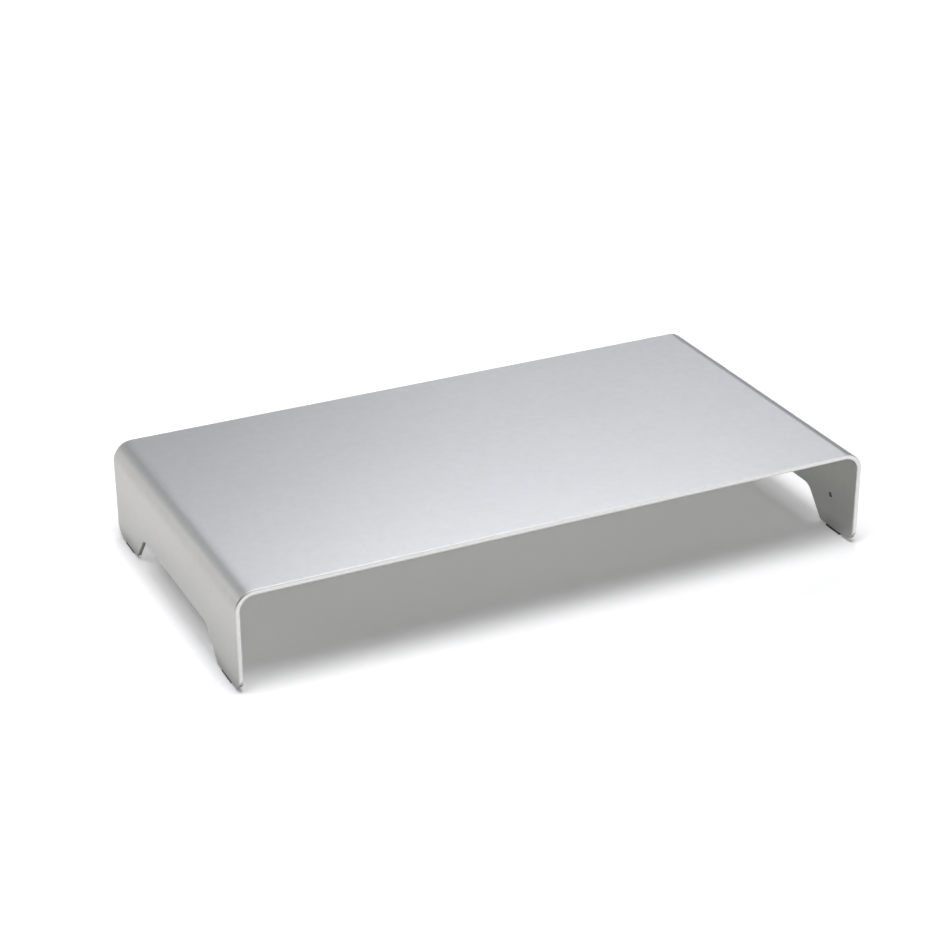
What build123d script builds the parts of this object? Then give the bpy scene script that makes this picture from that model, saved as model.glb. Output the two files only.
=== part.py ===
from build123d import *
import math
import os

# Monitor riser stand: one bent aluminium sheet standing on four stuck-on rubber pads.
# Lengths are in millimetres.  +Z is up, +X runs to the right across the width and -Y faces
# the user.  The origin is on the desk, below the middle of the top plate.

# --- Overall size, standing on its pads ---------------------------------------------
overall_width = 400.0
overall_depth = 210.0
overall_height = 62.0

# --- Sheet ----------------------------------------------------------------------------
sheet_thickness = 3.0
bend_inner_radius = 9.0
edge_radius = 0.8  # tumbled rounding of every cut edge

# --- Side legs: an arch leaves a foot at the front and one at the rear ---------------
foot_length = 35.0
toe_radius = 8.0
heel_radius = 3.0
arch_height = 19.0  # from the desk to the arch's upper edge
arch_slope = 50.0  # degrees, of the arch's slanted ends
arch_corner_radius = 10.0

# --- Small hole through the right leg --------------------------------------------------
hole_diameter = 3.0
hole_setback = 25.5  # from the front edge to the hole's centre
hole_height = 22.5  # from the desk to the hole's centre
hole_deburr = 0.2

# --- Self-adhesive rubber pads under the feet ------------------------------------------
pad_length = 15.0
pad_thickness = 0.8
pad_corner_radius = 0.6
pad_edge_radius = 0.2
pad_setback = 13.5  # from the front or rear edge to the pad's near end
adhesive_thickness = 0.2

# --- Derived places ----------------------------------------------------------------------
half_width = overall_width / 2
half_depth = overall_depth / 2
bend_outer_radius = bend_inner_radius + sheet_thickness
half_bay_width = half_width - sheet_thickness
bay_height = overall_height - sheet_thickness
leg_middle = half_width - sheet_thickness / 2
foot_underside = pad_thickness + adhesive_thickness
foot_heel = half_depth - foot_length
arch_rise = arch_height - foot_underside
arch_corner = foot_heel - arch_rise / math.tan(math.radians(arch_slope))
pad_middle = half_depth - pad_setback - pad_length / 2

os.makedirs("parts", exist_ok=True)


def finish(builder, name):
    """Name a finished piece and write it out."""
    builder.part.label = name
    export_step(builder.part, f"parts/{name}.step")
    print(f"{name}: {builder.part.volume:.1f} mm3")


# --- Riser plate: top, two bends and two legs in one sheet -----------------------------
with BuildPart() as riser_plate:
    # The bent section, seen from the front: outside line, inside line and two leg ends.
    with BuildSketch(Plane.XZ):
        with BuildLine():
            outside = FilletPolyline(
                (-half_width, foot_underside),
                (-half_width, overall_height),
                (half_width, overall_height),
                (half_width, foot_underside),
                radius=bend_outer_radius,
            )
            inside = FilletPolyline(
                (-half_bay_width, foot_underside),
                (-half_bay_width, bay_height),
                (half_bay_width, bay_height),
                (half_bay_width, foot_underside),
                radius=bend_inner_radius,
            )
            Line(outside @ 0, inside @ 0)
            Line(outside @ 1, inside @ 1)
        make_face()
    extrude(amount=half_depth, both=True)

    # The side outline trims the legs to two feet with an arch between them.
    with BuildSketch(Plane.YZ) as side_outline:
        with BuildLine():
            Polyline(
                (-half_depth, overall_height),
                (-half_depth, foot_underside),
                (-foot_heel, foot_underside),
                (-arch_corner, arch_height),
                (arch_corner, arch_height),
                (foot_heel, foot_underside),
                (half_depth, foot_underside),
                (half_depth, overall_height),
                close=True,
            )
        make_face()
        fillet(side_outline.vertices().group_by(Axis.Y)[1], arch_corner_radius)
        heels = side_outline.vertices().group_by(Axis.Y)[0].sort_by(Axis.X)[1:3]
        fillet(heels, heel_radius)
        toes = side_outline.vertices().group_by(Axis.Y)[0].sort_by(Axis.X)
        fillet([toes[0], toes[-1]], toe_radius)
    extrude(amount=half_width, both=True, mode=Mode.INTERSECT)

    # Every cut edge is rounded; the bend lines and the edges across the sheet are not.
    sheet_edges = riser_plate.edges()
    across_sheet = sheet_edges.filter_by(Axis.X).filter_by(lambda edge: edge.length < 2 * sheet_thickness)
    bend_lines = sheet_edges.filter_by(Axis.Y).filter_by(lambda edge: edge.length > overall_depth - toe_radius)
    fillet(sheet_edges - across_sheet - bend_lines, edge_radius)

    # The small hole runs through the right leg from its outer face.
    hole_mouth = Plane(origin=(half_width, hole_setback - half_depth, hole_height), z_dir=(1, 0, 0))
    with Locations(hole_mouth):
        Hole(hole_diameter / 2, sheet_thickness)
    hole_rims = riser_plate.edges().filter_by(
        lambda edge: edge.geom_type == GeomType.CIRCLE and math.isclose(edge.radius, hole_diameter / 2)
    )
    chamfer(hole_rims, hole_deburr)

finish(riser_plate, "riser_plate")

# --- Pads and their adhesive: one of each under the four feet ---------------------------
for end_name, end in (("front", -1), ("rear", 1)):
    for side_name, side in (("left", -1), ("right", 1)):
        pad_centre = (side * leg_middle, end * pad_middle)

        with BuildPart() as foot_pad:
            with BuildSketch(Plane.XY):
                with Locations(pad_centre):
                    RectangleRounded(sheet_thickness, pad_length, pad_corner_radius)
            extrude(amount=pad_thickness)
            fillet(foot_pad.edges().group_by(Axis.Z)[0], pad_edge_radius)
        finish(foot_pad, f"foot_pad_{end_name}_{side_name}")

        with BuildPart() as pad_adhesive:
            with BuildSketch(Plane.XY.offset(pad_thickness)):
                with Locations(pad_centre):
                    RectangleRounded(sheet_thickness, pad_length, pad_corner_radius)
            extrude(amount=adhesive_thickness)
        finish(pad_adhesive, f"pad_adhesive_{end_name}_{side_name}")
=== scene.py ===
# %% [markdown]
# # A monitor riser stand folded from one aluminium sheet
#
# The real stand is a single sheet of 3 mm aluminium. The shop cuts a flat blank, tumbles it
# until its edges are round, folds both ends down on a press brake, blasts the whole thing with
# fine glass beads and anodises it clear. Thin rubber pads are then stuck under its four feet.
#
# This lesson makes it in the same order: cut, round, score, fold, pad, finish, light. The CAD
# model comes first. It is the fixed frame that gives every size and place, and Blender gives
# the surfaces. Nothing here moves or resizes a CAD part.

# %% Load the frame
import math

import bmesh
import bpy
from mathutils import Matrix, Vector


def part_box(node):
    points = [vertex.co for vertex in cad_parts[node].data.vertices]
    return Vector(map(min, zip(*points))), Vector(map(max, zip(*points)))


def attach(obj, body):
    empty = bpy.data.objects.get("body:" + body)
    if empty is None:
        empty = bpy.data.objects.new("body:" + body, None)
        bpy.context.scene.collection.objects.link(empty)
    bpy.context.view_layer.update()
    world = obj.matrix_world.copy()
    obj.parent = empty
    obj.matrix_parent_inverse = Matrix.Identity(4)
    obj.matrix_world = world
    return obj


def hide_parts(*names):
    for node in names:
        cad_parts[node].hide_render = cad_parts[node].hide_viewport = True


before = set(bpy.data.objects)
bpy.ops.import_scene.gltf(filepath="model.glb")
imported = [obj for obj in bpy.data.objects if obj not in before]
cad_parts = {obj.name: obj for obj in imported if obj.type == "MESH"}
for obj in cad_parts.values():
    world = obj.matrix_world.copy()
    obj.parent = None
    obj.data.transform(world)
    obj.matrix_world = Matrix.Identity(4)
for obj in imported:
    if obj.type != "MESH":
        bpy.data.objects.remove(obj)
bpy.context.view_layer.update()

# %% [markdown]
# ## Sizes
#
# The outer sizes are read off the CAD nodes, so the pieces made here always land on them. The
# pads are exactly as wide as the sheet is thick, which gives the thickness. A box can't tell a
# radius, so the radii and the shape of the feet are written out, in millimetres.

# %% Sizes of the sheet
MM = 0.001

sheet_low, sheet_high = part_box("riser_plate")
pad_low, pad_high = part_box("foot_pad_front_right")
sheet_thickness = pad_high.x - pad_low.x
half_width = sheet_high.x
half_depth = sheet_high.y
top_height = sheet_high.z
foot_underside = sheet_low.z

bend_inner_radius = 9 * MM
edge_radius = 0.8 * MM
foot_length = 35 * MM
toe_radius = 8 * MM
heel_radius = 3 * MM
arch_height = 19 * MM
arch_slope = math.radians(50)
arch_corner_radius = 10 * MM
hole_diameter = 3 * MM
hole_setback = 25.5 * MM
hole_height = 22.5 * MM
hole_deburr = 0.2 * MM

print(f"sheet {2 * half_width / MM:.0f} x {2 * half_depth / MM:.0f} x {top_height / MM:.0f} mm,"
      f" {sheet_thickness / MM:.1f} mm thick")

# %% [markdown]
# ## The flat blank
#
# A folded sheet keeps the length of its middle layer. So the blank is as long as the flat top,
# two quarter circles of the middle layer's radius and two straight legs together. Working the
# shape out flat and folding it later is easier than modelling the folded legs, and the round
# edges then run through the bends without a seam.

# %% Work out the blank
bend_radius = bend_inner_radius + sheet_thickness / 2
flat_reach = half_width - bend_inner_radius - sheet_thickness
bend_length = bend_radius * math.pi / 2
leg_length = top_height - sheet_thickness - bend_inner_radius - foot_underside
blank_reach = flat_reach + bend_length + leg_length

heel = half_depth - foot_length
arch_rise = arch_height - foot_underside
arch_corner = heel - arch_rise / math.tan(arch_slope)

print(f"blank {2 * blank_reach / MM:.1f} mm long for a stand {2 * half_width / MM:.0f} mm wide")

# %% [markdown]
# ## One helper for nodes
#
# Shaders and Geometry Nodes are both node trees. A single small function adds any node, sets
# its properties and fills its inputs: a node or a socket is linked, and anything else is set as a
# value. Nodes are laid out in rows, so that a tree can be read when it is opened.

# %% Add a node
nodes_in_row = 12
node_spacing = (190, -260)


def first_output(node):
    return next(socket for socket in node.outputs if socket.enabled)


def add(tree, kind, inputs=None, **settings):
    node = tree.nodes.new(kind)
    row, column = divmod(len(tree.nodes), nodes_in_row)
    node.location = (column * node_spacing[0], row * node_spacing[1])
    for name, value in settings.items():
        setattr(node, name, value)
    for name, value in (inputs or {}).items():
        if isinstance(name, str):
            socket = next(s for s in node.inputs if s.enabled and s.name == name)
        else:
            socket = node.inputs[name]
        if isinstance(value, bpy.types.Node):
            value = first_output(value)
        if isinstance(value, bpy.types.NodeSocket):
            tree.links.new(value, socket)
        else:
            socket.default_value = value
    return node

# %% [markdown]
# ## Colours
#
# Colours are written as sRGB hex values, as a paint chart or a browser gives them. Blender's
# sockets want linear light, so one function turns them.

# %% Hex to linear
def colour(hex_value):
    channels = [int(hex_value[i:i + 2], 16) / 255 for i in (1, 3, 5)]
    linear = [c / 12.92 if c <= 0.04045 else ((c + 0.055) / 1.055) ** 2.4 for c in channels]
    return (*linear, 1.0)


def new_material(name):
    material = bpy.data.materials.new(name)
    material.use_nodes = True
    tree = material.node_tree
    tree.nodes.clear()
    return material, tree


def finish_material(tree, shader):
    add(tree, "ShaderNodeOutputMaterial", {"Surface": shader})


print(f"middle grey #808080 is {colour('#808080')[0]:.3f} in linear light")

# %% [markdown]
# ## Finish: bead-blasted, clear-anodised aluminium
#
# Glass beads leave a skin of tiny round dents that scatters the light, and the clear oxide
# keeps the metal's own pale grey. To the eye it is a soft satin: no mirror image, only a slow
# change of tone across the sheet with a fine salt-and-pepper grain in it.
#
# The dents are about 0.1 mm across, too fine to show from where the stand is seen, so the grain
# is drawn at 1.2 mm. It moves the bump, the roughness and a little of the colour together. Two
# wider noises lie over it: a mottle 5 mm across, where the blast nozzle passed unevenly, and
# clouds a hand wide, where the oxide is a little thicker.
#
# An image could give all this too, but noise on Object coordinates needs no unwrapping and runs
# through the bends without a seam.

# %% Aluminium: the patterns
blast_grain = 1.2 * MM
mottle_width = 5 * MM
cloud_width = 70 * MM

aluminium, tree = new_material("clear_anodised_aluminium")
place = add(tree, "ShaderNodeTexCoord").outputs["Object"]
grain = add(tree, "ShaderNodeTexNoise", {"Vector": place, "Scale": 1 / blast_grain, "Detail": 2.0})
mottle = add(tree, "ShaderNodeTexNoise", {"Vector": place, "Scale": 1 / mottle_width, "Detail": 3.0})
cloud = add(tree, "ShaderNodeTexNoise", {"Vector": place, "Scale": 1 / cloud_width, "Detail": 3.0})
rim = add(tree, "ShaderNodeAttribute", attribute_name="rim").outputs["Fac"]
inside = add(tree, "ShaderNodeAttribute", attribute_name="inside").outputs["Fac"]
sole = add(tree, "ShaderNodeAttribute", attribute_name="sole").outputs["Fac"]
bore = add(tree, "ShaderNodeAttribute", attribute_name="bore").outputs["Fac"]
height = add(tree, "ShaderNodeSeparateXYZ", {"Vector": place}).outputs["Z"]
print(f"grain {blast_grain / MM:.1f} mm, mottle {mottle_width / MM:.0f} mm,"
      f" clouds {cloud_width / MM:.0f} mm")

# %% [markdown]
# The tone is not even over the sheet, and much of that is painted light and shade. The inner side
# is painted paler, a painted brightening of the faces that turn away from the lamps. The legs are
# painted darker towards the desk, with more painted shade in the last centimetre. The rim is
# brighter, partly from tumbling and blasting and partly as a painted highlight. The edges of the
# feet that look down at the desk and the bore of the small hole are painted dark, as painted
# shade. The face attributes that the fold leaves behind say which face is which.

# %% Aluminium: the tones, with painted light and shade
# painted shade on the legs and feet: the heights over which it fades out, and the share of tone left
# at the bottom
painted_leg_shade_height = 40 * MM
painted_leg_shade_share = 0.79
painted_foot_shade_bottom = 2 * MM
painted_foot_shade_height = 10 * MM
painted_foot_shade_share = 0.78

clouded = add(tree, "ShaderNodeMix", {
    "Factor": cloud, "A": colour("#BAB9B7"), "B": colour("#BEBDBA")}, data_type="RGBA")
# the inner side is painted paler: a painted brightening of the shaded inside, not a different finish
inside_painted_brighter = add(tree, "ShaderNodeMix", {
    "Factor": inside, "A": clouded, "B": colour("#D7D8D3")}, data_type="RGBA")
# painted shade: the legs are painted darker towards the desk
painted_leg_shade = add(tree, "ShaderNodeMapRange", {
    "Value": height, "From Min": 0.0, "From Max": painted_leg_shade_height,
    "To Min": painted_leg_shade_share, "To Max": 1.0})
# painted shade: darker again in the last centimetre above the desk
painted_foot_shade = add(tree, "ShaderNodeMapRange", {
    "Value": height, "From Min": painted_foot_shade_bottom, "From Max": painted_foot_shade_height,
    "To Min": painted_foot_shade_share, "To Max": 1.0})
# both painted shades together, laid on the tone with its painted paler inside
painted_shade = add(tree, "ShaderNodeMath", {0: painted_leg_shade, 1: painted_foot_shade}, operation="MULTIPLY")
tone_with_painted_light_and_shade = add(tree, "ShaderNodeVectorMath", {0: inside_painted_brighter, "Scale": painted_shade}, operation="SCALE")
# the rim is painted brighter: partly the real brightness of tumbled edges, partly a painted highlight
rim_brighter_and_painted_highlight = add(tree, "ShaderNodeMix", {
    "Factor": rim, "A": tone_with_painted_light_and_shade, "B": colour("#DFDEDC")}, data_type="RGBA")
# painted shade: the rim faces of the feet that look down at the desk are painted dark
painted_shade_sole_mask = add(tree, "ShaderNodeMath", {0: sole, 1: rim}, operation="MULTIPLY")
painted_shade_on_sole_edges = add(tree, "ShaderNodeMix", {
    "Factor": painted_shade_sole_mask, "A": rim_brighter_and_painted_highlight, "B": colour("#7C7C7A")}, data_type="RGBA")
# painted shade: the bore of the small hole is painted dark
painted_shade_in_bore = add(tree, "ShaderNodeMix", {
    "Factor": bore, "A": painted_shade_on_sole_edges, "B": colour("#6E6E6D")}, data_type="RGBA")
print(f"at the desk the legs keep {painted_leg_shade_share * painted_foot_shade_share:.0%} of the plate's tone")

# %% Aluminium: grain and mottle in the tone
pepper = add(tree, "ShaderNodeMix", {
    "Factor": grain, "A": colour("#F5F5F5"), "B": colour("#FFFFFF")}, data_type="RGBA")
peppered = add(tree, "ShaderNodeMix", {
    "Factor": 1.0, "A": painted_shade_in_bore, "B": pepper}, data_type="RGBA", blend_type="MULTIPLY")
blotch = add(tree, "ShaderNodeMix", {
    "Factor": mottle, "A": colour("#F3F3F3"), "B": colour("#FFFFFF")}, data_type="RGBA")
tone = add(tree, "ShaderNodeMix", {
    "Factor": 1.0, "A": peppered, "B": blotch}, data_type="RGBA", blend_type="MULTIPLY")
print(f"tone: {len(tree.nodes)} nodes")

# %% Aluminium: the satin
satin_low = 0.34
satin_high = 0.42
rim_smoothing = 0.06
dent_depth = 0.01 * MM

satin = add(tree, "ShaderNodeMapRange", {"Value": grain, "To Min": satin_low, "To Max": satin_high})
smoother = add(tree, "ShaderNodeMath", {
    0: rim, 1: -rim_smoothing, 2: satin}, operation="MULTIPLY_ADD")
dents = add(tree, "ShaderNodeBump", {"Height": grain, "Distance": dent_depth, "Strength": 1.0})
finish_material(tree, add(tree, "ShaderNodeBsdfPrincipled", {
    "Base Color": tone, "Metallic": 1.0, "Roughness": smoother, "Normal": dents}))
print(f"{aluminium.name}: {len(tree.nodes)} nodes, roughness {satin_low} to {satin_high}")

# %% [markdown]
# ## Finish: pad rubber and adhesive film
#
# The pads are die-cut from calendered black rubber sheet: matt, charcoal rather than black, with
# a fine pebble from the calender rolls. The film that holds them is acrylic tape, a smoother and
# slightly glossier dark layer 0.2 mm thick, seen only as a hairline between pad and metal.

# %% Rubber
rubber_pebble = 0.4 * MM
pebble_depth = 0.02 * MM
rubber_rough_low = 0.72
rubber_rough_high = 0.88
rubber_ior = 1.52

rubber, tree = new_material("calendered_black_rubber")
place = add(tree, "ShaderNodeTexCoord").outputs["Object"]
pebble = add(tree, "ShaderNodeTexNoise", {"Vector": place, "Scale": 1 / rubber_pebble, "Detail": 2.0})
charcoal = add(tree, "ShaderNodeMix", {
    "Factor": pebble, "A": colour("#242426"), "B": colour("#343436")}, data_type="RGBA")
matt = add(tree, "ShaderNodeMapRange", {
    "Value": pebble, "To Min": rubber_rough_low, "To Max": rubber_rough_high})
pebbled = add(tree, "ShaderNodeBump", {"Height": pebble, "Distance": pebble_depth})
finish_material(tree, add(tree, "ShaderNodeBsdfPrincipled", {
    "Base Color": charcoal, "Roughness": matt, "Normal": pebbled, "IOR": rubber_ior}))
print(f"{rubber.name}: pebble {rubber_pebble / MM:.1f} mm")

# %% Adhesive film
film_ripple = 1.5 * MM
ripple_depth = 0.01 * MM
film_rough_low = 0.38
film_rough_high = 0.5
film_ior = 1.48

film, tree = new_material("acrylic_adhesive_film")
place = add(tree, "ShaderNodeTexCoord").outputs["Object"]
ripple = add(tree, "ShaderNodeTexNoise", {"Vector": place, "Scale": 1 / film_ripple, "Detail": 1.0})
tacky = add(tree, "ShaderNodeMix", {
    "Factor": ripple, "A": colour("#3A3A3A"), "B": colour("#484848")}, data_type="RGBA")
glossy = add(tree, "ShaderNodeMapRange", {
    "Value": ripple, "To Min": film_rough_low, "To Max": film_rough_high})
rippled = add(tree, "ShaderNodeBump", {"Height": ripple, "Distance": ripple_depth})
finish_material(tree, add(tree, "ShaderNodeBsdfPrincipled", {
    "Base Color": tacky, "Roughness": glossy, "Normal": rippled, "IOR": film_ior}))
print(f"{film.name}: ripple {film_ripple / MM:.1f} mm")

# %% [markdown]
# ## Geometry Nodes, and how a piece is finished
#
# Every piece here follows a rule, so Geometry Nodes make them all: the sheet, which is a flat
# shape folded by a formula, and the pads and their film, each one die-cut shape set down four
# times. Each tree has its sizes as named inputs, and a modifier's input is set by its socket's
# identifier, because the modifier doesn't know the socket's name. A finished result is turned
# into a plain mesh.

# %% Trees and plain meshes
def new_tree(name, sizes):
    tree = bpy.data.node_groups.new(name, "GeometryNodeTree")
    tree.interface.new_socket("Geometry", in_out="INPUT", socket_type="NodeSocketGeometry")
    for label, kind in sizes.items():
        tree.interface.new_socket(label, in_out="INPUT", socket_type="NodeSocket" + kind)
    tree.interface.new_socket("Geometry", in_out="OUTPUT", socket_type="NodeSocketGeometry")
    return tree, add(tree, "NodeGroupInput").outputs


def close_tree(tree, geometry, material):
    real = add(tree, "GeometryNodeRealizeInstances", {"Geometry": geometry})
    painted = add(tree, "GeometryNodeSetMaterial", {"Geometry": real, "Material": material})
    add(tree, "NodeGroupOutput", {"Geometry": painted})


def apply_tree(obj, tree, values):
    modifier = obj.modifiers.new(tree.name, "NODES")
    modifier.node_group = tree
    for item in tree.interface.items_tree:
        if item.in_out == "INPUT" and item.name in values:
            modifier[item.identifier] = values[item.name]


def new_object(name, mesh):
    obj = bpy.data.objects.new(name, mesh)
    bpy.context.scene.collection.objects.link(obj)
    return obj


def to_plain_mesh(obj):
    """Gives the object its evaluated shape as its own mesh, and takes its modifiers off."""
    depsgraph = bpy.context.evaluated_depsgraph_get()
    mesh = bpy.data.meshes.new_from_object(obj.evaluated_get(depsgraph), depsgraph=depsgraph)
    obj.modifiers.clear()
    obj.data = mesh
    return mesh

# %% [markdown]
# ## Cut the blank
#
# The outline needs only twelve corners: two toes, two heels and two corners of the arch at each
# end. Each corner carries its radius as an attribute, and Fillet Curve rounds it. The outline
# could also be drawn with its arcs worked out point by point, but then every radius would be
# buried in a list of points.

# %% The outline's corners
def outline_corners():
    foot = [
        (blank_reach, half_depth, toe_radius),
        (blank_reach, heel, heel_radius),
        (blank_reach - arch_rise, arch_corner, arch_corner_radius),
    ]
    right_end = [(x, -y, radius) for x, y, radius in foot] + foot[::-1]
    return right_end + [(-x, y, radius) for x, y, radius in right_end[::-1]]


corners = outline_corners()
corner_count = len(corners)
outline = bpy.data.meshes.new("riser_sheet")
ring = [(i, (i + 1) % corner_count) for i in range(corner_count)]
outline.from_pydata([(x, y, 0) for x, y, radius in corners], ring, [])
radii = outline.attributes.new("corner_radius", "FLOAT", "POINT")
radii.data.foreach_set("value", [radius for x, y, radius in corners])
print(f"outline with {corner_count} corners")

# %% [markdown]
# The tree rounds the corners, punches the hole and gives the face its thickness. Then it marks
# the edges that the tumbling will round. An edge is marked where its two faces meet at more than
# 60 degrees. The hole's edges get a smaller mark, because the real hole is only deburred.

# %% The tree that cuts it: outline and hole
hole_sides = 40

cut, given = new_tree("cut_blank", {
    "Thickness": "Float", "Hole Centre": "Vector", "Hole Diameter": "Float", "Arc Steps": "Int",
    "Hole Edge Share": "Float", "Material": "Material"})

path = add(cut, "GeometryNodeMeshToCurve", {"Mesh": given["Geometry"]})
corner_radius = add(cut, "GeometryNodeInputNamedAttribute", {
    "Name": "corner_radius"}, data_type="FLOAT")
rounded = add(cut, "GeometryNodeFilletCurve", {
    "Curve": path, "Radius": corner_radius, "Count": given["Arc Steps"]}, mode="POLY")
hole_radius = add(cut, "ShaderNodeMath", {0: given["Hole Diameter"], 1: 0.5}, operation="MULTIPLY")
circle = add(cut, "GeometryNodeCurvePrimitiveCircle", {
    "Resolution": hole_sides, "Radius": hole_radius})
punched = add(cut, "GeometryNodeTransform", {
    "Geometry": circle, "Translation": given["Hole Centre"]})
outlines = add(cut, "GeometryNodeJoinGeometry")
for curve in (rounded, punched):
    cut.links.new(first_output(curve), outlines.inputs[0])
face = add(cut, "GeometryNodeFillCurve", {"Curve": outlines}, mode="NGONS")
print(f"outline and hole: {len(cut.nodes)} nodes")

# %% The tree that cuts it: thickness
weld_distance = 0.001 * MM

down = add(cut, "ShaderNodeMath", {0: given["Thickness"], 1: -0.5}, operation="MULTIPLY")
below = add(cut, "ShaderNodeCombineXYZ", {"Z": down})
base = add(cut, "GeometryNodeTransform", {"Geometry": face, "Translation": below})
raised = add(cut, "GeometryNodeExtrudeMesh", {
    "Mesh": base, "Offset Scale": given["Thickness"], "Individual": False}, mode="FACES")
lower_face = add(cut, "GeometryNodeFlipFaces", {"Mesh": base})
shell = add(cut, "GeometryNodeJoinGeometry")
for part in (raised, lower_face):
    cut.links.new(first_output(part), shell.inputs[0])
slab = add(cut, "GeometryNodeMergeByDistance", {"Geometry": shell, "Distance": weld_distance})
print(f"with its thickness: {len(cut.nodes)} nodes")

# %% The tree that cuts it: edges to round
sharp_angle = math.radians(60)

edge_angle = add(cut, "GeometryNodeInputMeshEdgeAngle").outputs["Unsigned Angle"]
sharp = add(cut, "ShaderNodeMath", {0: edge_angle, 1: sharp_angle}, operation="GREATER_THAN")
corner_place = add(cut, "GeometryNodeInputPosition")
away = add(cut, "ShaderNodeVectorMath", {
    0: corner_place, 1: given["Hole Centre"]}, operation="DISTANCE")
near_hole = add(cut, "ShaderNodeMath", {0: away, 1: given["Hole Diameter"]}, operation="LESS_THAN")
share = add(cut, "GeometryNodeSwitch", {
    "Switch": near_hole, "False": 1.0, "True": given["Hole Edge Share"]}, input_type="FLOAT")
weight = add(cut, "ShaderNodeMath", {0: sharp, 1: share}, operation="MULTIPLY")
marked = add(cut, "GeometryNodeStoreNamedAttribute", {
    "Geometry": slab, "Name": "bevel_weight_edge", "Value": weight}, data_type="FLOAT", domain="EDGE")
close_tree(cut, marked, given["Material"])
print(f"{cut.name}: {len(cut.nodes)} nodes")

# %% Cut it and round its edges
arc_steps = 14
edge_steps = 6

hole_centre = (blank_reach - (hole_height - foot_underside), hole_setback - half_depth, 0)
sheet = new_object("riser_sheet", outline)
apply_tree(sheet, cut, {
    "Thickness": sheet_thickness,
    "Hole Centre": hole_centre,
    "Hole Diameter": hole_diameter,
    "Arc Steps": arc_steps,
    "Hole Edge Share": hole_deburr / edge_radius,
    "Material": aluminium,
})
rounding = sheet.modifiers.new("tumbled_edges", "BEVEL")
rounding.limit_method = "WEIGHT"
rounding.width = edge_radius
rounding.segments = edge_steps
rounding.use_clamp_overlap = False
blank = to_plain_mesh(sheet)
print(f"blank: {len(blank.vertices)} vertices, {len(blank.polygons)} faces")

# %% [markdown]
# ## Score the bends
#
# A face can only fold along edges that it has. Each bend gets a fan of straight cuts across the
# blank, close enough together to look round. Subdividing the whole blank would do as well, but it
# would spend most of its faces on the flat top, where they show nothing.

# %% Cut across the blank where it will bend
bend_steps = 28
snap_distance = 0.0001 * MM

scored = bmesh.new()
scored.from_mesh(blank)
for side in (-1, 1):
    for step in range(bend_steps + 1):
        line = side * (flat_reach + bend_length * step / bend_steps)
        everything = scored.verts[:] + scored.edges[:] + scored.faces[:]
        bmesh.ops.bisect_plane(
            scored, geom=everything, plane_co=(line, 0, 0), plane_no=(1, 0, 0), dist=snap_distance)
scored.to_mesh(blank)
scored.free()
print(f"scored: {len(blank.polygons)} faces, {bend_steps} strips in each bend")

# %% [markdown]
# ## Fold it
#
# Folding is one formula. Walk out from the middle of the blank. Up to the bend line nothing
# moves. In the bend, the distance walked past the line, divided by the middle layer's radius, is
# the angle turned. After a quarter turn, what is left of the walk goes straight down. A point
# above or below the middle layer turns on a longer or shorter arm.
#
# Blender's own Simple Deform could bend it too, but it has no sharp start and end of a bend.
#
# The tree also leaves notes on the faces, which the finish uses for its roughness and its painted
# light and shade. While the sheet is still flat it notes the rim, the side that will turn inwards
# and the bore of the hole. Once the sheet is folded it notes which faces of the feet look down.
# Normal and Position give the values of the mesh that they are used on, so before the fold they
# are the flat sheet's and after it the folded one's.

# %% The tree that folds it: notes on the flat sheet
# a face whose normal has a lower Z than this lies on the inner side; straight down is -1
inner_side = -0.5

fold, given = new_tree("fold_sheet", {
    "Flat Reach": "Float", "Bend Radius": "Float", "Bend Centre Height": "Float",
    "Hole Centre": "Vector", "Bore Radius": "Float", "Foot Height": "Float", "Material": "Material"})

flat_normal = add(fold, "GeometryNodeInputNormal")
facing = add(fold, "ShaderNodeSeparateXYZ", {"Vector": flat_normal}).outputs["Z"]
upright = add(fold, "ShaderNodeMath", {0: facing}, operation="ABSOLUTE")
rimness = add(fold, "ShaderNodeMath", {0: 1.0, 1: upright}, operation="SUBTRACT")
noted = add(fold, "GeometryNodeStoreNamedAttribute", {
    "Geometry": given["Geometry"], "Name": "rim", "Value": rimness}, data_type="FLOAT", domain="FACE")

underneath = add(fold, "ShaderNodeMath", {0: facing, 1: inner_side}, operation="LESS_THAN")
sided = add(fold, "GeometryNodeStoreNamedAttribute", {
    "Geometry": noted, "Name": "inside", "Value": underneath}, data_type="FLOAT", domain="FACE")

flat_place = add(fold, "GeometryNodeInputPosition")
in_plan = add(fold, "ShaderNodeVectorMath", {0: flat_place, 1: (1, 1, 0)}, operation="MULTIPLY")
from_hole = add(fold, "ShaderNodeVectorMath", {
    0: in_plan, 1: given["Hole Centre"]}, operation="DISTANCE")
in_bore = add(fold, "ShaderNodeMath", {0: from_hole, 1: given["Bore Radius"]}, operation="LESS_THAN")
bored = add(fold, "GeometryNodeStoreNamedAttribute", {
    "Geometry": sided, "Name": "bore", "Value": in_bore}, data_type="FLOAT", domain="FACE")
print(f"notes on the flat sheet: {len(fold.nodes)} nodes")

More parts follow.
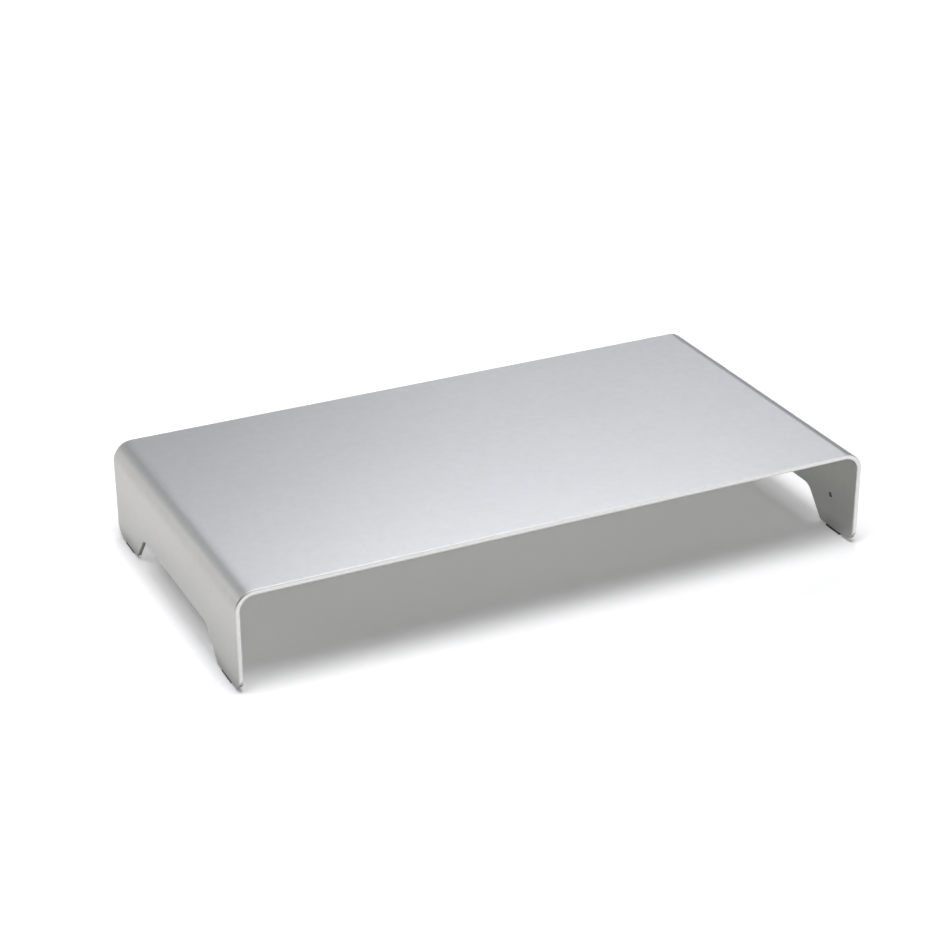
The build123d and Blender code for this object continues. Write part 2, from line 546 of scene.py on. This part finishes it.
# %% The tree that folds it: the formula
flat = add(fold, "ShaderNodeSeparateXYZ", {"Vector": flat_place}).outputs
side = add(fold, "ShaderNodeMath", {0: flat["X"]}, operation="SIGN")
walked = add(fold, "ShaderNodeMath", {0: flat["X"]}, operation="ABSOLUTE")
level = add(fold, "ShaderNodeMath", {0: walked, 1: given["Flat Reach"]}, operation="MINIMUM")
beyond = add(fold, "ShaderNodeMath", {0: walked, 1: level}, operation="SUBTRACT")
unlimited = add(fold, "ShaderNodeMath", {0: beyond, 1: given["Bend Radius"]}, operation="DIVIDE")
turn = add(fold, "ShaderNodeMath", {0: unlimited, 1: math.pi / 2}, operation="MINIMUM")
in_bend = add(fold, "ShaderNodeMath", {0: turn, 1: given["Bend Radius"]}, operation="MULTIPLY")
drop = add(fold, "ShaderNodeMath", {0: beyond, 1: in_bend}, operation="SUBTRACT")
arm = add(fold, "ShaderNodeMath", {0: given["Bend Radius"], 1: flat["Z"]}, operation="ADD")
sine = add(fold, "ShaderNodeMath", {0: turn}, operation="SINE")
cosine = add(fold, "ShaderNodeMath", {0: turn}, operation="COSINE")
reach = add(fold, "ShaderNodeMath", {0: arm, 1: sine, 2: level}, operation="MULTIPLY_ADD")
across = add(fold, "ShaderNodeMath", {0: reach, 1: side}, operation="MULTIPLY")
rise = add(fold, "ShaderNodeMath", {
    0: arm, 1: cosine, 2: given["Bend Centre Height"]}, operation="MULTIPLY_ADD")
up = add(fold, "ShaderNodeMath", {0: rise, 1: drop}, operation="SUBTRACT")
folded_place = add(fold, "ShaderNodeCombineXYZ", {"X": across, "Y": flat["Y"], "Z": up})
folded = add(fold, "GeometryNodeSetPosition", {"Geometry": bored, "Position": folded_place})
smooth = add(fold, "GeometryNodeSetShadeSmooth", {"Geometry": folded})
print(f"with the formula: {len(fold.nodes)} nodes")

# %% The tree that folds it: a note on the folded feet
# the Z of a face's normal where it starts to count as looking down, and where it fully does
down_from = -0.1
down_fully = -0.6

folded_normal = add(fold, "GeometryNodeInputNormal")
turned = add(fold, "ShaderNodeSeparateXYZ", {"Vector": folded_normal}).outputs["Z"]
downward = add(fold, "ShaderNodeMapRange", {
    "Value": turned, "From Min": down_from, "From Max": down_fully, "To Min": 0.0, "To Max": 1.0})
place_now = add(fold, "GeometryNodeInputPosition")
height_now = add(fold, "ShaderNodeSeparateXYZ", {"Vector": place_now}).outputs["Z"]
in_foot = add(fold, "ShaderNodeMath", {0: height_now, 1: given["Foot Height"]}, operation="LESS_THAN")
soleness = add(fold, "ShaderNodeMath", {0: downward, 1: in_foot}, operation="MULTIPLY")
soled = add(fold, "GeometryNodeStoreNamedAttribute", {
    "Geometry": smooth, "Name": "sole", "Value": soleness}, data_type="FLOAT", domain="FACE")
close_tree(fold, soled, given["Material"])
print(f"{fold.name}: {len(fold.nodes)} nodes")

# %% Fold the sheet
foot_margin = 1 * MM
foot_height = arch_height + foot_margin
bend_centre_height = top_height - sheet_thickness - bend_inner_radius
apply_tree(sheet, fold, {
    "Flat Reach": flat_reach,
    "Bend Radius": bend_radius,
    "Bend Centre Height": bend_centre_height,
    "Hole Centre": hole_centre,
    "Bore Radius": hole_diameter / 2 + hole_deburr,
    "Foot Height": foot_height,
    "Material": aluminium,
})
print(f"each bend turns round a line {bend_centre_height / MM:.0f} mm up, its middle layer"
      f" {bend_radius / MM:.1f} mm from it")

# %% [markdown]
# Smooth shading averages the normals round each corner. On a sheet with huge flat faces next to
# narrow strips that would tint the flats, so the normals are weighted by face area instead: the
# big faces keep their own and only the narrow strips turn.

# %% Keep the flats flat
weighted = sheet.modifiers.new("weighted_normals", "WEIGHTED_NORMAL")
weighted.mode = "FACE_AREA"
weighted.weight = 100  # the most that the modifier takes
folded_mesh = to_plain_mesh(sheet)
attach(sheet, "root")
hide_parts("riser_plate")
folded_size = " x ".join(f"{length / MM:.1f}" for length in sheet.dimensions)
print(f"folded sheet: {len(folded_mesh.polygons)} faces, {folded_size} mm")

# %% [markdown]
# ## Die-cut pads
#
# One pad is a rounded strip as wide as the sheet is thick. A die cuts both the rubber and the
# film under it, so one tree makes both: it rounds a rectangle, gives it its thickness and sets
# it down at each foot. The feet come in as four points, read from the CAD pads' own places.

# %% The tree that cuts pads
pad_arc_steps = 8

die, given = new_tree("die_cut_pads", {
    "Width": "Float", "Length": "Float", "Corner Radius": "Float", "Thickness": "Float",
    "Material": "Material"})
strip = add(die, "GeometryNodeCurvePrimitiveQuadrilateral", {
    "Width": given["Width"], "Height": given["Length"]})
die_line = add(die, "GeometryNodeFilletCurve", {
    "Curve": strip, "Radius": given["Corner Radius"], "Count": pad_arc_steps}, mode="POLY")
pad_face = add(die, "GeometryNodeFillCurve", {"Curve": die_line}, mode="NGONS")
pad_raised = add(die, "GeometryNodeExtrudeMesh", {
    "Mesh": pad_face, "Offset Scale": given["Thickness"], "Individual": False}, mode="FACES")
pad_below = add(die, "GeometryNodeFlipFaces", {"Mesh": pad_face})
pad_shell = add(die, "GeometryNodeJoinGeometry")
for part in (pad_raised, pad_below):
    die.links.new(first_output(part), pad_shell.inputs[0])
pad = add(die, "GeometryNodeMergeByDistance", {"Geometry": pad_shell, "Distance": weld_distance})
feet = add(die, "GeometryNodeMeshToPoints", {"Mesh": given["Geometry"]})
set_down = add(die, "GeometryNodeInstanceOnPoints", {"Points": feet, "Instance": pad})
close_tree(die, set_down, given["Material"])
print(f"{die.name}: {len(die.nodes)} nodes")

# %% Set the pads and their film under the feet
pad_corner_radius = 0.6 * MM
pad_edge_radius = 0.2 * MM
pad_edge_steps = 3


def set_under_feet(name, kind, material, edge):
    nodes = [f"{kind}_{end}_{side}" for end in ("front", "rear") for side in ("left", "right")]
    boxes = [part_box(node) for node in nodes]
    low, high = boxes[0]
    points = bpy.data.meshes.new(name)
    points.from_pydata([((a.x + b.x) / 2, (a.y + b.y) / 2, a.z) for a, b in boxes], [], [])
    piece = new_object(name, points)
    apply_tree(piece, die, {
        "Width": high.x - low.x, "Length": high.y - low.y, "Corner Radius": pad_corner_radius,
        "Thickness": high.z - low.z, "Material": material})
    if edge:
        soft_edge = piece.modifiers.new("pressed_edges", "BEVEL")
        soft_edge.limit_method = "ANGLE"
        soft_edge.angle_limit = sharp_angle
        soft_edge.width = edge
        soft_edge.segments = pad_edge_steps
    mesh = to_plain_mesh(piece)
    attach(piece, "root")
    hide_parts(*nodes)
    print(f"{name}: {len(nodes)} set down, {len(mesh.polygons)} faces")


set_under_feet("foot_pads", "foot_pad", rubber, pad_edge_radius)
set_under_feet("pad_adhesive_films", "pad_adhesive", film, 0)

# %% [markdown]
# ## Floor
#
# The stand is shown on plain white paper. The paper is an ordinary pale diffuse surface, so it
# takes a real soft shadow. A little light of its own brings the lit paper to white and keeps the
# shadow an open grey. Only the camera, reflections and clear things see it, so it brightens
# nothing matt. The lamps hang close over the stand, so the paper would fade to grey further out.
# There its own light grows until the paper meets the white backdrop. More power in the lamps
# would also whiten the paper, but it would wash out the shadow too.

# %% Floor
# the paper's own light, as shares of the white backdrop's, and the distances in metres between
# which it grows from one share to the other
lift_near = 0.173
lift_far = 1.0
fade_start = 0.13
fade_end = 2.9

paper, tree = new_material("white_paper_floor")
place = add(tree, "ShaderNodeTexCoord").outputs["Object"]
distance = add(tree, "ShaderNodeVectorMath", {0: place}, operation="LENGTH").outputs["Value"]
lifted = add(tree, "ShaderNodeMapRange", {
    "Value": distance, "From Min": fade_start, "From Max": fade_end,
    "To Min": lift_near, "To Max": lift_far})
rays = add(tree, "ShaderNodeLightPath").outputs
seen = add(tree, "ShaderNodeMath", {
    0: rays["Is Camera Ray"], 1: rays["Is Glossy Ray"]}, operation="MAXIMUM")
shown = add(tree, "ShaderNodeMath", {0: seen, 1: rays["Is Transmission Ray"]}, operation="MAXIMUM")
lift = add(tree, "ShaderNodeMath", {0: shown, 1: lifted}, operation="MULTIPLY")
sheet_white = add(tree, "ShaderNodeBsdfDiffuse", {"Color": colour("#EEEEF0")})
glow = add(tree, "ShaderNodeEmission", {"Color": colour("#FFFFFF"), "Strength": lift})
finish_material(tree, add(tree, "ShaderNodeAddShader", {0: sheet_white, 1: glow}))
print(f"{paper.name}: own light {lift_near:.0%} of white within {fade_start:.2f} m,"
      f" {lift_far:.0%} from {fade_end:.1f} m")

# %% Lay the floor
floor_reach = 8.0

ground = bpy.data.meshes.new("floor")
square = ((-1, -1), (1, -1), (1, 1), (-1, 1))
ground.from_pydata([(x * floor_reach, y * floor_reach, 0) for x, y in square], [], [(0, 1, 2, 3)])
ground.materials.append(paper)
floor = new_object("floor", ground)
print(f"floor {2 * floor_reach:.0f} m wide")

# %% [markdown]
# ## Backdrop
#
# The backdrop is pure white to the camera, to reflections and through anything clear. Satin metal
# shows the whole room in a blur, and in an all-white room it would look like chalk. So grey flats
# stand round the set, seen by reflections only. They leave the white above them open, and the
# metal gets its slow change of tone from that.

# %% World
world = bpy.data.worlds.new("white_backdrop")
world.use_nodes = True
tree = world.node_tree
tree.nodes.clear()
rays = add(tree, "ShaderNodeLightPath").outputs
seen = add(tree, "ShaderNodeMath", {
    0: rays["Is Camera Ray"], 1: rays["Is Glossy Ray"]}, operation="MAXIMUM")
shown = add(tree, "ShaderNodeMath", {0: seen, 1: rays["Is Transmission Ray"]}, operation="MAXIMUM")
white = add(tree, "ShaderNodeBackground", {"Color": colour("#FFFFFF"), "Strength": shown})
add(tree, "ShaderNodeOutputWorld", {"Surface": white})
bpy.context.scene.world = world
print(f"{world.name}: white to the camera, to reflections and through clear things")

# %% Grey flats
flats_radius = 5.0
flats_top_angle = math.radians(50)
flats_height = flats_radius * math.tan(flats_top_angle)
flats_sink = 0.01
flats_grey = 0.25
flats_sides = 64

felt, tree = new_material("grey_felt_flats")
finish_material(tree, add(tree, "ShaderNodeEmission", {
    "Color": colour("#E4F0FD"), "Strength": flats_grey}))

cylinder = bmesh.new()
bmesh.ops.create_cone(
    cylinder, cap_ends=False, segments=flats_sides,
    radius1=flats_radius, radius2=flats_radius, depth=flats_height)
bmesh.ops.translate(cylinder, vec=(0, 0, flats_height / 2 - flats_sink), verts=cylinder.verts)
wall = bpy.data.meshes.new("grey_flats")
cylinder.to_mesh(wall)
cylinder.free()
wall.materials.append(felt)
flats = new_object("grey_flats", wall)
flats.visible_camera = False
flats.visible_diffuse = False
flats.visible_shadow = False
flats.visible_transmission = False
print(f"grey flats {flats_height:.1f} m high, {flats_radius:.0f} m away")

# %% [markdown]
# ## Light
#
# Satin metal and matt paper want different light, so each gets its own. Three large soft boxes
# light the paper and give the shadow: one hangs above the floor before the stand, one above the
# floor to its left, and a long one fills in from behind. They are hidden from reflections.
#
# The metal is lit by what it reflects. Nine cards stand round it, seen by reflections only: those
# at the back give the plate its slow change of tone, those at the left light the leg and the
# bend, and those in front light the rim. One set of lamps could do both, but then every change
# to the shadow would move a streak on the metal.

# %% Helpers for lamps
plate_middle = Vector((0, 0, 0.06))
lamp_distance = 2.0


def hang_lamp(name, shape, place, aim, width, depth, power, tint):
    """Hangs an area lamp. Its tint is taken against its green, so that it shifts only the hue."""
    lamp = bpy.data.lights.new(name, "AREA")
    lamp.shape = shape
    lamp.size = width
    lamp.size_y = depth
    lamp.energy = power
    red, green, blue = colour(tint)[:3]
    lamp.color = (red / green, 1.0, blue / green)
    obj = new_object(name, lamp)
    obj.location = place
    obj.rotation_euler = (Vector(aim) - Vector(place)).to_track_quat("-Z", "Y").to_euler()
    return obj


def around(bearing, elevation):
    """A place at a bearing, clockwise from the back of the stand, and at an elevation, in degrees."""
    turned = math.radians(bearing)
    raised = math.radians(elevation)
    level = math.cos(raised)
    direction = Vector((level * math.sin(turned), level * math.cos(turned), math.sin(raised)))
    return plate_middle + lamp_distance * direction

# %% Soft boxes for the paper
over_front = Vector((-0.06, -0.45, 2.0))
over_left = Vector((-0.9, -0.15, 2.0))
straight_down = Vector((0, 0, -1))

# name, place, aim, width and depth in metres, power in watts
soft_boxes = [
    ("overhead_soft_box", over_front, over_front + straight_down, 0.56, 1.22, 26.3),
    ("left_overhead_soft_box", over_left, over_left + straight_down, 1.11, 1.1, 18.9),
    ("back_fill_soft_box", around(30, 45), plate_middle, 1.36, 0.3, 13.0),
]
for name, place, aim, width, depth, power in soft_boxes:
    box = hang_lamp(name, "ELLIPSE", place, aim, width, depth, power, "#FFFFFF")
    box.visible_glossy = False
print(f"soft boxes: {len(soft_boxes)}")

# %% Cards for the metal
# name, bearing and elevation in degrees, width and depth in metres, power in watts, tint
cards = [
    ("back_card", -10, 60, 0.8, 0.8, 11.6, "#F7FAFF"),
    ("back_right_card", 30, 50, 0.8, 0.8, 11.3, "#F3F6FF"),
    ("left_back_card", -30, 45, 1.0, 1.0, 1.0, "#F8FAFF"),
    ("right_card", 50, 40, 0.8, 0.8, 1.8, "#F6F8FF"),
    ("low_back_card", 35, 25, 0.8, 0.8, 0.7, "#F6F8FF"),
    ("left_card", -35, 22, 1.0, 0.8, 1.7, "#FFFFFF"),
    ("low_left_card", -45, 9, 1.0, 0.6, 2.25, "#FFFCF8"),
    ("high_front_card", 130, 60, 1.2, 1.2, 4.8, "#FDFEFF"),
    ("front_card", 145, 14, 2.0, 1.2, 12.5, "#FDFEFF"),
]
for name, bearing, elevation, width, depth, power, tint in cards:
    place = around(bearing, elevation)
    card = hang_lamp(name, "RECTANGLE", place, plate_middle, width, depth, power, tint)
    card.visible_diffuse = False
print(f"reflection cards: {len(cards)}")

# %% [markdown]
# ## Camera
#
# The camera stands in front of the left end and looks down on the stand, with a lens long
# enough to keep the plate's long edges nearly parallel. It is turned by three angles, because
# aiming it at a point would leave out the slight roll.

# %% Camera
camera_place = Vector((-0.5482, -1.1216, 0.6560))
camera_heading = math.radians(25.754)
camera_tilt = math.radians(26.136)
camera_roll = math.radians(-0.184)
focal_length = 87.11
sensor_width = 36.0

lens = bpy.data.cameras.new("camera")
lens.lens = focal_length
lens.sensor_width = sensor_width
camera = new_object("camera", lens)
camera.matrix_world = (
    Matrix.Translation(camera_place)
    @ Matrix.Rotation(-camera_heading, 4, "Z")
    @ Matrix.Rotation(math.pi / 2 - camera_tilt, 4, "X")
    @ Matrix.Rotation(camera_roll, 4, "Z")
)
bpy.context.scene.camera = camera
bpy.context.scene.view_settings.view_transform = "Standard"
print(f"camera {(camera_place - plate_middle).length:.2f} m away, {focal_length:.0f} mm lens")
